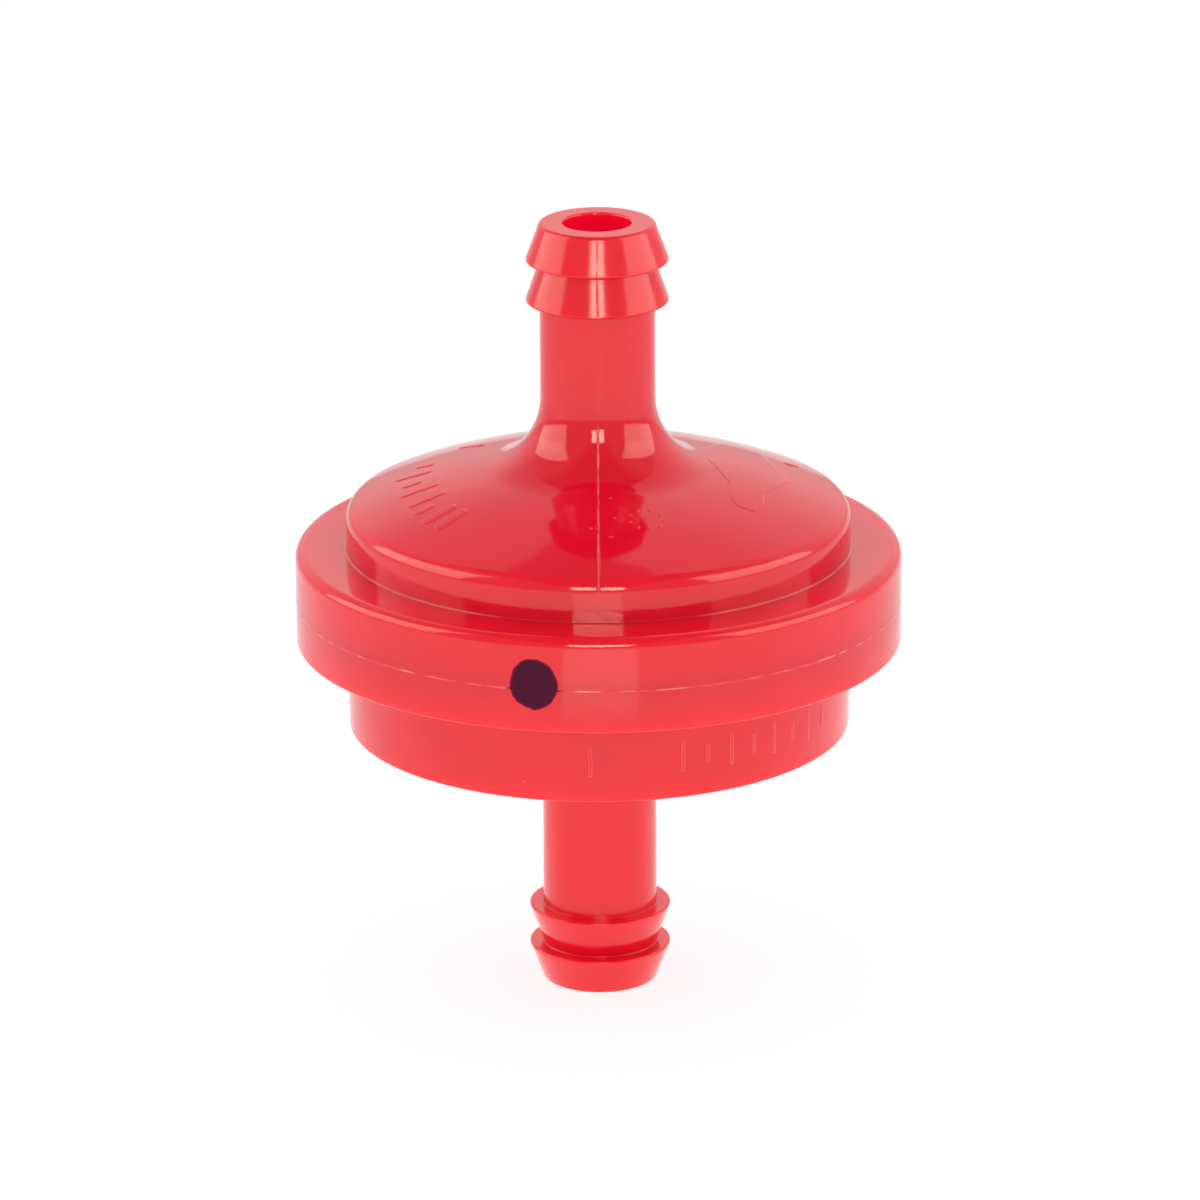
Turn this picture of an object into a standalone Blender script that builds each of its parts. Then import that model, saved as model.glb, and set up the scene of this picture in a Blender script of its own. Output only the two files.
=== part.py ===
"""Inline fuel filter for small engines: two moulded shells welded at a flange, with a screen between them.

Units are metres and +Z is up. The filter stands on the end of its outlet nipple, and the centre of that
end is the origin. Every round piece is a closed section turned about Z.
"""

import math

import bmesh
import bpy
from mathutils import Matrix, Vector

MM = 0.001

# Barbed nipples, the same on both shells
STEM_DIAMETER = 6.35 * MM
BORE_DIAMETER = 3.76 * MM
BARB_RISE = 0.8 * MM
BARB_COUNT = 2
BARB_PITCH = 2.28 * MM
TIP_LENGTH = 2.15 * MM
TIP_ROUND = 0.25 * MM
BARB_ROUND = 0.1 * MM
MOUTH_CHAMFER = 0.12 * MM

# Inlet shell: flange half, low step, dome and nipple
BODY_DIAMETER = 27.96 * MM
FLANGE_OVERHANG = 2.82 * MM
INLET_FLANGE = 2.53 * MM
STEP_HEIGHT = 2.16 * MM
DOME_RISE = 3.42 * MM
INLET_LENGTH = 13.27 * MM
INLET_FILLET = 4.1 * MM

# Outlet shell: flange half, cup and nipple
OUTLET_FLANGE = 2.34 * MM
CUP_DEPTH = 4.95 * MM
OUTLET_LENGTH = 15.22 * MM
OUTLET_FILLET = 1.5 * MM

# Mouldings in general
WALL = 1.5 * MM
DRAFT_DEG = 1.0
EDGE_ROUND = 0.3 * MM
INNER_ROUND = 0.6 * MM
WELD_GAP = 0.04 * MM

# Tongue of the inlet shell and groove of the outlet shell, which the weld fills
TONGUE_WIDTH = 0.9 * MM
TONGUE_HEIGHT = 0.9 * MM
TONGUE_CLEARANCE = 0.2 * MM

# Woven screen, trapped between the shells in a recess of the outlet flange
SCREEN_LEDGE = 1.3 * MM
SCREEN_RIM_WIDTH = 1.0 * MM
SCREEN_THICKNESS = 0.6 * MM
SCREEN_CLEARANCE = 0.15 * MM
THREAD_DIAMETER = 0.5 * MM
THREAD_PITCH = 2.6 * MM

# Ribs that hold the screen off the cup's floor
RIB_COUNT = 6
RIB_WIDTH = 1.0 * MM
RIB_CLEARANCE = 0.1 * MM
RIB_START = 1.8 * MM

# Facets: how many round the axis, over the dome and round a thread, and how far one may cut inside a round
TURN_STEPS = 60
DOME_STEPS = 7
ROOF_STEPS = 5
THREAD_SIDES = 6
ROUND_SAG = 0.03 * MM

# Heights that follow from the sizes above, counted from the outlet end
CUP_Z = OUTLET_LENGTH
OUTLET_FLANGE_Z = CUP_Z + CUP_DEPTH
SEAM_Z = OUTLET_FLANGE_Z + OUTLET_FLANGE
INLET_FLANGE_Z = SEAM_Z + INLET_FLANGE
DOME_EDGE_Z = INLET_FLANGE_Z + STEP_HEIGHT
CROWN_Z = DOME_EDGE_Z + DOME_RISE
INLET_END_Z = CROWN_Z + INLET_LENGTH
RECESS_DEPTH = SCREEN_THICKNESS + 2 * SCREEN_CLEARANCE
LEDGE_Z = SEAM_Z - RECESS_DEPTH

# Radii that follow from the sizes above
BORE_R = BORE_DIAMETER / 2
STEM_R = STEM_DIAMETER / 2
BARB_R = STEM_R + BARB_RISE
BODY_R = BODY_DIAMETER / 2
FLANGE_R = BODY_R + FLANGE_OVERHANG
CHAMBER_R = BODY_R - WALL
RECESS_R = CHAMBER_R + SCREEN_LEDGE
TONGUE_R = (RECESS_R + FLANGE_R) / 2
SCREEN_R = RECESS_R - SCREEN_CLEARANCE

RED_PLASTIC = (0.745, 0.014, 0.034, 1.0)
SCREEN_NYLON = (0.83, 0.81, 0.74, 1.0)


def clear_scene():
    for item in list(bpy.data.objects):
        bpy.data.objects.remove(item, do_unlink=True)


def plastic(name, colour, roughness):
    """A moulded plastic in one colour."""
    material = bpy.data.materials.new(name)
    material.use_nodes = True
    shader = material.node_tree.nodes["Principled BSDF"]
    shader.inputs["Base Color"].default_value = colour
    shader.inputs["Roughness"].default_value = roughness
    shader.inputs["Metallic"].default_value = 0.0
    return material


def arc(centre, radius, start, sweep):
    """Points along an arc in the (r, z) plane, with as few facets as ROUND_SAG allows."""
    widest = 2 * math.acos(max(0.0, 1 - ROUND_SAG / radius))
    steps = max(1, math.ceil(abs(sweep) / widest))
    points = []
    for step in range(steps + 1):
        angle = start + sweep * step / steps
        points.append((centre[0] + radius * math.cos(angle), centre[1] + radius * math.sin(angle)))
    return points


def rounded(corners):
    """The outline through corners (r, z, radius), closed, with each corner turned into a tangent arc."""
    outline = []
    count = len(corners)
    for index, (r, z, radius) in enumerate(corners):
        if radius <= 0:
            outline.append((r, z))
            continue
        corner = Vector((r, z))
        before = Vector(corners[index - 1][:2]) - corner
        after = Vector(corners[(index + 1) % count][:2]) - corner
        half = before.angle(after) / 2
        reach = min(radius / math.tan(half), before.length / 2.2, after.length / 2.2)
        centre = corner + (before.normalized() + after.normalized()).normalized() * reach / math.cos(half)
        first = corner + before.normalized() * reach - centre
        last = corner + after.normalized() * reach - centre
        start = math.atan2(first.y, first.x)
        sweep = math.remainder(math.atan2(last.y, last.x) - start, 2 * math.pi)
        outline += arc(centre, first.length, start, sweep)
    return outline


def sharp(points):
    """Points (r, z) as corners without a round."""
    return [(r, z, 0.0) for r, z in points]


def nipple(end_z, outward):
    """Corners of a nipple from its bore's mouth to its stem, with outward +1 up or -1 down."""
    corners = [
        (BORE_R, end_z - outward * MOUTH_CHAMFER, 0.0),
        (BORE_R + MOUTH_CHAMFER, end_z, 0.0),
        (STEM_R, end_z, TIP_ROUND),
    ]
    for index in range(BARB_COUNT):
        barb_z = end_z - outward * (TIP_LENGTH + index * BARB_PITCH)
        corners.append((BARB_R, barb_z, BARB_ROUND))
        corners.append((STEM_R, barb_z, 0.0))
    return corners


def drafted(radius, height):
    """The radius of a moulded wall that leans inwards over this height."""
    return radius - height * math.tan(math.radians(DRAFT_DEG))


def dome_sphere():
    """Radius and centre height of the dome's outer sphere, from its edge and its rise."""
    edge_r = drafted(BODY_R, STEP_HEIGHT)
    radius = (edge_r**2 + DOME_RISE**2) / (2 * DOME_RISE)
    return radius, CROWN_Z - radius


def dome_points():
    """The fillet from the stem and then the dome, down to the dome's edge."""
    radius, centre_z = dome_sphere()
    fillet_r = STEM_R + INLET_FILLET
    fillet_z = centre_z + math.sqrt((radius + INLET_FILLET) ** 2 - fillet_r**2)
    sweep = math.atan2(fillet_z - centre_z, fillet_r)
    points = arc((fillet_r, fillet_z), INLET_FILLET, math.pi, sweep)
    start_r = points[-1][0]
    edge_r = drafted(BODY_R, STEP_HEIGHT)
    for step in range(1, DOME_STEPS):
        r = start_r + (edge_r - start_r) * step / DOME_STEPS
        points.append((r, centre_z + math.sqrt(radius**2 - r**2)))
    return points


def roof_points():
    """The chamber's roof, one wall under the dome, from the chamber's wall in to the bore."""
    radius, centre_z = dome_sphere()
    inner = radius - WALL
    corners = []
    for step in range(ROOF_STEPS + 1):
        r = CHAMBER_R + (BORE_R - CHAMBER_R) * step / ROOF_STEPS
        round_here = INNER_ROUND if step in (0, ROOF_STEPS) else 0.0
        corners.append((r, centre_z + math.sqrt(inner**2 - r**2), round_here))
    return corners


def inlet_section():
    """The inlet shell's section: nipple, dome, step, flange half, tongue, chamber and bore."""
    seam = SEAM_Z + WELD_GAP / 2
    tongue_end = seam - TONGUE_HEIGHT
    tongue_out = TONGUE_R + TONGUE_WIDTH / 2
    tongue_in = TONGUE_R - TONGUE_WIDTH / 2
    corners = nipple(INLET_END_Z, 1)
    corners += sharp(dome_points())
    corners += [
        (drafted(BODY_R, STEP_HEIGHT), DOME_EDGE_Z, EDGE_ROUND),
        (BODY_R, INLET_FLANGE_Z, EDGE_ROUND),
        (FLANGE_R, INLET_FLANGE_Z, EDGE_ROUND),
        (FLANGE_R, seam, 0.0),
        (tongue_out, seam, 0.0),
        (tongue_out, tongue_end, 0.0),
        (tongue_in, tongue_end, 0.0),
        (tongue_in, seam, 0.0),
        (CHAMBER_R, seam, 0.0),
    ]
    corners += roof_points()
    return rounded(corners)


def outlet_section():
    """The outlet shell's section: nipple, cup, flange half, groove, screen recess, chamber and bore."""
    seam = SEAM_Z - WELD_GAP / 2
    groove_floor = SEAM_Z - TONGUE_HEIGHT - TONGUE_CLEARANCE
    groove_out = TONGUE_R + TONGUE_WIDTH / 2 + TONGUE_CLEARANCE
    groove_in = TONGUE_R - TONGUE_WIDTH / 2 - TONGUE_CLEARANCE
    cup_r = drafted(BODY_R, CUP_DEPTH)
    floor_z = CUP_Z + WALL
    corners = nipple(0.0, -1)
    corners += [
        (STEM_R, CUP_Z, OUTLET_FILLET),
        (cup_r, CUP_Z, EDGE_ROUND),
        (BODY_R, OUTLET_FLANGE_Z, EDGE_ROUND),
        (FLANGE_R, OUTLET_FLANGE_Z, EDGE_ROUND),
        (FLANGE_R, seam, 0.0),
        (groove_out, seam, 0.0),
        (groove_out, groove_floor, 0.0),
        (groove_in, groove_floor, 0.0),
        (groove_in, seam, 0.0),
        (RECESS_R, seam, 0.0),
        (RECESS_R, LEDGE_Z, 0.0),
        (CHAMBER_R, LEDGE_Z, 0.0),
        (CHAMBER_R, floor_z, INNER_ROUND),
        (BORE_R, floor_z, INNER_ROUND),
    ]
    return rounded(corners)


def finish_mesh(bm, name, material):
    """Turns a bmesh into an object, round faces smooth and real edges sharp."""
    bmesh.ops.recalc_face_normals(bm, faces=bm.faces)
    mesh = bpy.data.meshes.new(name)
    bm.to_mesh(mesh)
    bm.free()
    if material:
        mesh.materials.append(material)
    mesh.shade_smooth()
    mesh.set_sharp_from_angle(angle=math.radians(35))
    item = bpy.data.objects.new(name, mesh)
    bpy.context.collection.objects.link(item)
    return item


def turned(name, outline, material):
    """A closed outline of (r, z) points turned about Z."""
    bm = bmesh.new()
    loop = [bm.verts.new((r, 0.0, z)) for r, z in outline]
    edges = [bm.edges.new((loop[index - 1], loop[index])) for index in range(len(loop))]
    bmesh.ops.spin(
        bm,
        geom=loop + edges,
        cent=(0.0, 0.0, 0.0),
        axis=(0.0, 0.0, 1.0),
        angle=2 * math.pi,
        steps=TURN_STEPS,
        use_merge=True,
    )
    return finish_mesh(bm, name, material)


def add_bar(bm, start, end, height):
    """A round thread from start to end at this height."""
    run = Vector(end) - Vector(start)
    turn = run.to_track_quat("Z", "Y").to_matrix().to_4x4()
    middle = (Vector(start) + Vector(end)) / 2
    place = Matrix.Translation((middle.x, middle.y, height)) @ turn
    bmesh.ops.create_cone(
        bm,
        cap_ends=True,
        segments=THREAD_SIDES,
        radius1=THREAD_DIAMETER / 2,
        radius2=THREAD_DIAMETER / 2,
        depth=run.length,
        matrix=place,
    )


def thread_offsets(reach):
    """Distances of the threads from the middle, in pairs either side of it, inside the screen's rim."""
    offsets = []
    offset = THREAD_PITCH / 2
    while offset < reach - THREAD_DIAMETER:
        offsets += [offset, -offset]
        offset += THREAD_PITCH
    return offsets


def threads(name, along_x, height):
    """All threads that run one way, ending inside the screen's rim."""
    bm = bmesh.new()
    open_r = SCREEN_R - SCREEN_RIM_WIDTH
    anchor_r = open_r + SCREEN_RIM_WIDTH / 2
    for offset in thread_offsets(open_r):
        half = math.sqrt(anchor_r**2 - offset**2)
        if along_x:
            add_bar(bm, (-half, offset, 0.0), (half, offset, 0.0), height)
        else:
            add_bar(bm, (offset, -half, 0.0), (offset, half, 0.0), height)
    return as_tool(finish_mesh(bm, name, None))


def as_tool(item):
    """Keeps an object as a guide that only a Boolean uses."""
    item.hide_render = True
    item.display_type = "WIRE"
    return item


def join_with(item, tool):
    """Makes the tool's solid part of the item's."""
    modifier = item.modifiers.new(tool.name, "BOOLEAN")
    modifier.operation = "UNION"
    modifier.solver = "EXACT"
    modifier.object = tool


def rib_tool():
    """Radial ribs on the cup's floor, thinner at the top for draft, rooted in the floor and the wall."""
    bm = bmesh.new()
    low = CUP_Z + WALL / 2
    high = LEDGE_Z - RIB_CLEARANCE
    near = BORE_R + RIB_START
    far = CHAMBER_R + WALL / 2
    lean = (high - low) * math.tan(math.radians(DRAFT_DEG))
    for index in range(RIB_COUNT):
        turn = Matrix.Rotation(2 * math.pi * (index + 0.5) / RIB_COUNT, 4, "Z")
        place = Matrix.Translation(((near + far) / 2, 0.0, (low + high) / 2))
        size = Matrix.Diagonal((far - near, RIB_WIDTH, high - low, 1.0))
        made = bmesh.ops.create_cube(bm, size=1.0, matrix=turn @ place @ size)
        across = turn @ Vector((0.0, 1.0, 0.0))
        for vert in made["verts"]:
            if vert.co.z > (low + high) / 2:
                vert.co -= across * math.copysign(lean, vert.co.dot(across))
    return as_tool(finish_mesh(bm, "rib_guide", None))


def make_upper_shell():
    return turned("upper_shell", inlet_section(), plastic("red_inlet_plastic", RED_PLASTIC, 0.25))


def make_lower_shell():
    shell = turned("lower_shell", outlet_section(), plastic("red_outlet_plastic", RED_PLASTIC, 0.25))
    join_with(shell, rib_tool())
    return shell


def make_filter_screen():
    """A moulded rim with threads across it both ways, one way lying on the other."""
    middle = LEDGE_Z + SCREEN_CLEARANCE + SCREEN_THICKNESS / 2
    half = SCREEN_THICKNESS / 2
    open_r = SCREEN_R - SCREEN_RIM_WIDTH
    rim = [
        (open_r, middle - half),
        (SCREEN_R, middle - half),
        (SCREEN_R, middle + half),
        (open_r, middle + half),
    ]
    screen = turned("filter_screen", rim, plastic("screen_nylon", SCREEN_NYLON, 0.5))
    lift = THREAD_DIAMETER / 5
    join_with(screen, threads("thread_guide_x", True, middle + lift))
    join_with(screen, threads("thread_guide_y", False, middle - lift))
    return screen


def main():
    clear_scene()
    make_upper_shell()
    make_lower_shell()
    make_filter_screen()


if __name__ == "__main__":
    main()
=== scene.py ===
"""Looks of the inline fuel filter: two glossy red moulded shells, the woven screen between them, and a studio.

Units are metres, +Z is up and -Y faces the camera. Each shell is a section turned about Z in fine steps. The
small relief of the moulding is raised on it afterwards: mould lines, flow arrow, plain marks and weld edge.
"""

import math

import bmesh
import bpy
import numpy as np
from bpy.props import FloatProperty, FloatVectorProperty, IntProperty, PointerProperty
from mathutils import Matrix, Vector, noise


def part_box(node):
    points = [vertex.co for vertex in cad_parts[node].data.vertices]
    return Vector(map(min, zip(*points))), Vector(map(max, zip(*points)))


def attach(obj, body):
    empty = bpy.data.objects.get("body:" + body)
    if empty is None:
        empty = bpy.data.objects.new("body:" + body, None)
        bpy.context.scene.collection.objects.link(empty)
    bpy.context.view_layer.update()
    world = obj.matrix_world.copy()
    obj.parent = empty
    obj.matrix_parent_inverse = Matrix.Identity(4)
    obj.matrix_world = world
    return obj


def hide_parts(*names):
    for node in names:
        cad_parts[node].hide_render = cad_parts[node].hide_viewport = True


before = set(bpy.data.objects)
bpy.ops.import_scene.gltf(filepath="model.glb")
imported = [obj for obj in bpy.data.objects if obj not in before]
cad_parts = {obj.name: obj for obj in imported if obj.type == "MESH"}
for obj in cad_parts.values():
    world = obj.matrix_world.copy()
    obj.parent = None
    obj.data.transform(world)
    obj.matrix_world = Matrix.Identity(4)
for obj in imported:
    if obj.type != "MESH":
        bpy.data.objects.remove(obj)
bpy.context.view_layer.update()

bl_info = {
    "name": "Inline Fuel Filter",
    "version": (1, 0, 0),
    "blender": (4, 5, 0),
    "location": "3D View > Sidebar > Fuel Filter",
    "description": "Models a red moulded inline fuel filter with its woven screen, and the studio around it",
    "category": "Object",
}

MM = 0.001

# Heights and radii that the frame gives
WELD_GAP = 0.04 * MM
LOWER_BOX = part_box("lower_shell")
UPPER_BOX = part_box("upper_shell")
SCREEN_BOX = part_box("filter_screen")
SEAM_Z = LOWER_BOX[1].z + WELD_GAP / 2
TOP_Z = UPPER_BOX[1].z
FLANGE_R = UPPER_BOX[1].x
SCREEN_R = SCREEN_BOX[1].x
BODY_MIDDLE = Vector((0.0, 0.0, SEAM_Z))

# Steps of the turned shells, coarse for the mesh and fine for setting divided faces back on the curve
TURN_STEPS = 300
ROUND_SAG = 0.002 * MM
DOME_RING = 0.28 * MM
WALL_RING = 0.45 * MM
FINE_SHARE = 6
SHARP_ANGLE = math.radians(38)
GUARD = 0.02 * MM

# Relief: how far from a mark's edge the faces are divided, and how often each of their edges is cut
RELIEF_REACH = 0.13 * MM
RELIEF_CUTS = 6
LINE_REACH = 0.16 * MM
LINE_CUTS = 3
LINE_END = 0.06 * MM

# Flow arrow on the dome, seen from above, in millimetres
ARROW = [
    (5.50, 2.10), (6.35, -0.35), (7.20, -2.80), (7.20, -4.75), (7.50, -5.50), (8.60, -5.85),
    (9.06, -4.70), (9.14, -3.15), (10.30, -0.80), (10.70, 0.05), (9.80, 2.40), (8.90, 5.50), (7.20, 6.50),
]


def length_prop(name, description, default):
    return FloatProperty(name=name, description=description, default=default, unit="LENGTH", precision=5)


def colour_prop(name, description, default):
    return FloatVectorProperty(
        name=name, description=description, default=default, size=3, min=0.0, max=1.0, subtype="COLOR"
    )


class FilterSizes(bpy.types.PropertyGroup):
    """Sizes of the moulded shells, the screen and the fine relief."""

    stem_diameter: length_prop("Stem", "Plain part of each hose nipple", 6.35 * MM)
    bore_diameter: length_prop("Bore", "Fuel passage through each nipple", 3.76 * MM)
    barb_rise: length_prop("Barb rise", "Height of a barb over the stem", 0.8 * MM)
    barb_pitch: length_prop("Barb pitch", "Distance from one barb to the next", 2.28 * MM)
    tip_length: length_prop("Tip", "Distance from a nipple's end to its first barb", 2.15 * MM)
    body_diameter: length_prop("Body", "Diameter of the step and the cup at the flange", 27.96 * MM)
    inlet_flange: length_prop("Inlet flange", "Thickness of the inlet half of the flange", 2.94 * MM)
    outlet_flange: length_prop("Outlet flange", "Thickness of the outlet half of the flange", 2.40 * MM)
    step_height: length_prop("Step", "Height of the step between flange and dome", 2.18 * MM)
    dome_rise: length_prop("Dome rise", "Height of the dome over its edge", 2.99 * MM)
    cup_depth: length_prop("Cup depth", "Depth of the cup under the flange", 4.94 * MM)
    inlet_fillet: length_prop("Inlet fillet", "Round between the inlet nipple and the dome", 4.1 * MM)
    outlet_fillet: length_prop("Outlet fillet", "Round between the outlet nipple and the cup", 1.5 * MM)
    edge_round: length_prop("Edge round", "Round along the flange's upper edge", 0.58 * MM)
    dome_round: length_prop("Dome round", "Round along the dome's edge", 0.85 * MM)
    wall: length_prop("Wall", "Thickness of the moulded walls", 1.5 * MM)
    arrow_height: length_prop("Arrow height", "How far the flow arrow stands out of the dome", 0.035 * MM)
    mark_height: length_prop("Mark height", "How far the plain marks stand out", 0.05 * MM)
    line_height: length_prop("Mould line height", "How far the mould line stands out", 0.045 * MM)
    line_width: length_prop("Mould line width", "Width of the mould line", 0.13 * MM)
    thread_diameter: length_prop("Thread", "Thickness of the screen's threads", 0.18 * MM)
    thread_pitch: length_prop("Thread pitch", "Distance between the screen's threads", 0.56 * MM)
    rib_count: IntProperty(name="Ribs", description="Ribs on the cup's floor", default=6, min=0)


class FilterColours(bpy.types.PropertyGroup):
    """Colours of the plastics, the ink dot and the studio's floor."""

    red: colour_prop("Red", "Moulded plastic of both shells", (0.760, 0.005, 0.025))
    deep_red: colour_prop("Deep red", "Darker patches in the same plastic", (0.715, 0.003, 0.018))
    ink: colour_prop("Ink", "Dried ink of the dot on the flange", (0.060, 0.0008, 0.020))
    ink_rim: colour_prop("Ink rim", "Thin ink along the dot's edge", (0.150, 0.0010, 0.020))
    fleck: colour_prop("Fleck", "Dust specks on the plastic", (0.90, 0.62, 0.60))
    # Highlight paint: a light colour painted on as highlights along the weld, the mould line, the step's foot
    # and the marks' edges, where their small rounds catch the lamps
    highlight_paint: colour_prop("Highlight paint", "Plastic whitened along the weld and the mould line", (0.92, 0.30, 0.24))
    nylon: colour_prop("Nylon", "Threads and rim of the screen", (0.83, 0.81, 0.74))
    floor: colour_prop("Floor", "Studio floor", (0.90, 0.90, 0.90))


def arc(centre, radius, start, sweep, sag):
    """Points along an arc in the (r, z) plane, close enough together for this sag."""
    widest = 2 * math.acos(max(0.0, 1 - sag / radius))
    steps = max(2, math.ceil(abs(sweep) / widest))
    turns = [start + sweep * step / steps for step in range(steps + 1)]
    return [(centre[0] + radius * math.cos(turn), centre[1] + radius * math.sin(turn)) for turn in turns]


def rounded(corners, sag):
    """The closed outline through corners (r, z, radius), with an arc between guard rings at each round."""
    outline = []
    count = len(corners)
    for index, (r, z, radius) in enumerate(corners):
        if radius <= 0:
            outline.append((r, z))
            continue
        corner = Vector((r, z))
        before = Vector(corners[index - 1][:2]) - corner
        after = Vector(corners[(index + 1) % count][:2]) - corner
        half = before.angle(after) / 2
        reach = min(radius / math.tan(half), before.length / 2.2, after.length / 2.2)
        centre = corner + (before.normalized() + after.normalized()).normalized() * reach / math.cos(half)
        first = corner + before.normalized() * reach - centre
        last = corner + after.normalized() * reach - centre
        start = math.atan2(first.y, first.x)
        sweep = math.remainder(math.atan2(last.y, last.x) - start, 2 * math.pi)
        room = min(before.length, after.length) / 2 - reach
        guard = reach + min(GUARD, room / 2)
        outline.append(tuple(corner + before.normalized() * guard))
        outline += arc(centre, first.length, start, sweep, sag)
        outline.append(tuple(corner + after.normalized() * guard))
    return outline


def sharp(points):
    """Points (r, z) as corners without a round."""
    return [(r, z, 0.0) for r, z in points]


def run(start, end, ring):
    """Points between start and end, without either, about one ring apart."""
    length = math.dist(start, end)
    steps = max(1, round(length / ring))
    return [
        (start[0] + (end[0] - start[0]) * step / steps, start[1] + (end[1] - start[1]) * step / steps)
        for step in range(1, steps)
    ]


# Draft, rounds, weld joint, screen seat, ribs and threads
DRAFT = math.tan(math.radians(1.0))
BARB_COUNT = 2
TIP_ROUND = 0.25 * MM
BARB_ROUND = 0.1 * MM
MOUTH_ROUND = 0.12 * MM
INNER_ROUND = 0.6 * MM
TONGUE_WIDTH = 0.9 * MM
TONGUE_HEIGHT = 0.9 * MM
TONGUE_CLEARANCE = 0.2 * MM
SCREEN_LEDGE = 1.3 * MM
SCREEN_RIM = 1.0 * MM
SCREEN_CLEARANCE = 0.15 * MM
RIB_WIDTH = 1.0 * MM
RIB_CLEARANCE = 0.1 * MM
RIB_START = 1.8 * MM
THREAD_SIDES = 6
THREAD_STEP = 0.14 * MM
FOOT_ROUND = 0.07 * MM
LOWER_ROUND = 0.17 * MM
SEAM_LIP = 0.03 * MM
SEAM_HALF = 0.001 * MM
SEAM_ROUND = 0.004 * MM
BEAD_WIDTH = 0.07 * MM
BEAD_RINGS = (0.15, 0.09, 0.065, 0.045, 0.028)


def nipple(sizes, end_z, outward):
    """Corners of a nipple from its bore's mouth to its stem, with outward +1 up or -1 down."""
    bore_r = sizes.bore_diameter / 2
    stem_r = sizes.stem_diameter / 2
    corners = [(bore_r, end_z, MOUTH_ROUND), (stem_r, end_z, TIP_ROUND)]
    for index in range(BARB_COUNT):
        barb_z = end_z - outward * (sizes.tip_length + index * sizes.barb_pitch)
        corners.append((stem_r + sizes.barb_rise, barb_z, BARB_ROUND))
        corners.append((stem_r, barb_z, BARB_ROUND / 2))
    return corners


def dome_sphere(sizes):
    """Radius and centre height of the dome's outer sphere."""
    edge_r = sizes.body_diameter / 2 - sizes.step_height * DRAFT
    radius = (edge_r**2 + sizes.dome_rise**2) / (2 * sizes.dome_rise)
    crown_z = SEAM_Z + sizes.inlet_flange + sizes.step_height + sizes.dome_rise
    return radius, crown_z - radius


def dome_points(sizes, sag, ring):
    """The fillet from the inlet stem and then the dome, down to its edge."""
    radius, centre_z = dome_sphere(sizes)
    stem_r = sizes.stem_diameter / 2
    fillet = sizes.inlet_fillet
    fillet_r = stem_r + fillet
    fillet_z = centre_z + math.sqrt((radius + fillet) ** 2 - fillet_r**2)
    turn = math.atan2(fillet_z - centre_z, fillet_r)
    points = arc((fillet_r, fillet_z), fillet, math.pi, turn, sag)
    edge_r = sizes.body_diameter / 2 - sizes.step_height * DRAFT
    edge_turn = math.acos(edge_r / radius)
    last_turn = edge_turn + 1.5 * sizes.dome_round / radius
    steps = round(radius * (turn - last_turn) / ring)
    for step in range(1, steps + 1):
        angle = turn + (last_turn - turn) * step / steps
        points.append((radius * math.cos(angle), centre_z + radius * math.sin(angle)))
    return points


def roof_points(sizes, ring):
    """The chamber's roof, one wall under the dome, from the chamber's wall in to the bore."""
    radius, centre_z = dome_sphere(sizes)
    inner = radius - sizes.wall
    chamber_r = sizes.body_diameter / 2 - sizes.wall
    bore_r = sizes.bore_diameter / 2
    steps = round((chamber_r - bore_r) / ring)
    corners = []
    for step in range(steps + 1):
        r = chamber_r + (bore_r - chamber_r) * step / steps
        corners.append((r, centre_z + math.sqrt(inner**2 - r**2), 0.0))
    return corners


def inlet_section(sizes, share):
    """The inlet shell's section, with sags and ring steps divided by share."""
    sag = ROUND_SAG / share
    body_r = sizes.body_diameter / 2
    chamber_r = body_r - sizes.wall
    rim_z = SEAM_Z + sizes.inlet_flange
    foot = (body_r, rim_z)
    edge = (body_r - sizes.step_height * DRAFT, rim_z + sizes.step_height)
    tongue_r = (chamber_r + SCREEN_LEDGE + FLANGE_R) / 2
    tongue_out = tongue_r + TONGUE_WIDTH / 2
    tongue_in = tongue_r - TONGUE_WIDTH / 2
    tongue_end = SEAM_Z - TONGUE_HEIGHT
    rim_r = FLANGE_R - SEAM_LIP
    corners = nipple(sizes, TOP_Z, 1)
    corners += sharp(dome_points(sizes, sag, DOME_RING / share))
    corners.append((*edge, sizes.dome_round))
    corners += sharp(run(edge, foot, WALL_RING)[3:])
    corners.append((*foot, FOOT_ROUND))
    corners += sharp(run(foot, (rim_r, rim_z), WALL_RING)[:-2])
    corners.append((rim_r, rim_z, sizes.edge_round))
    corners += sharp(run((rim_r, rim_z), (rim_r, SEAM_Z), WALL_RING)[2:])
    corners += [(rim_r, SEAM_Z + ring * MM, 0.0) for ring in BEAD_RINGS]
    corners += [
        (rim_r, SEAM_Z + SEAM_HALF, SEAM_ROUND),
        (tongue_out, SEAM_Z + SEAM_HALF, 0.0),
        (tongue_out, tongue_end, 0.0),
        (tongue_in, tongue_end, 0.0),
        (tongue_in, SEAM_Z + WELD_GAP / 2, 0.0),
        (chamber_r, SEAM_Z + WELD_GAP / 2, 0.0),
    ]
    corners += roof_points(sizes, 4 * WALL_RING)
    return rounded(corners, sag)


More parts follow.
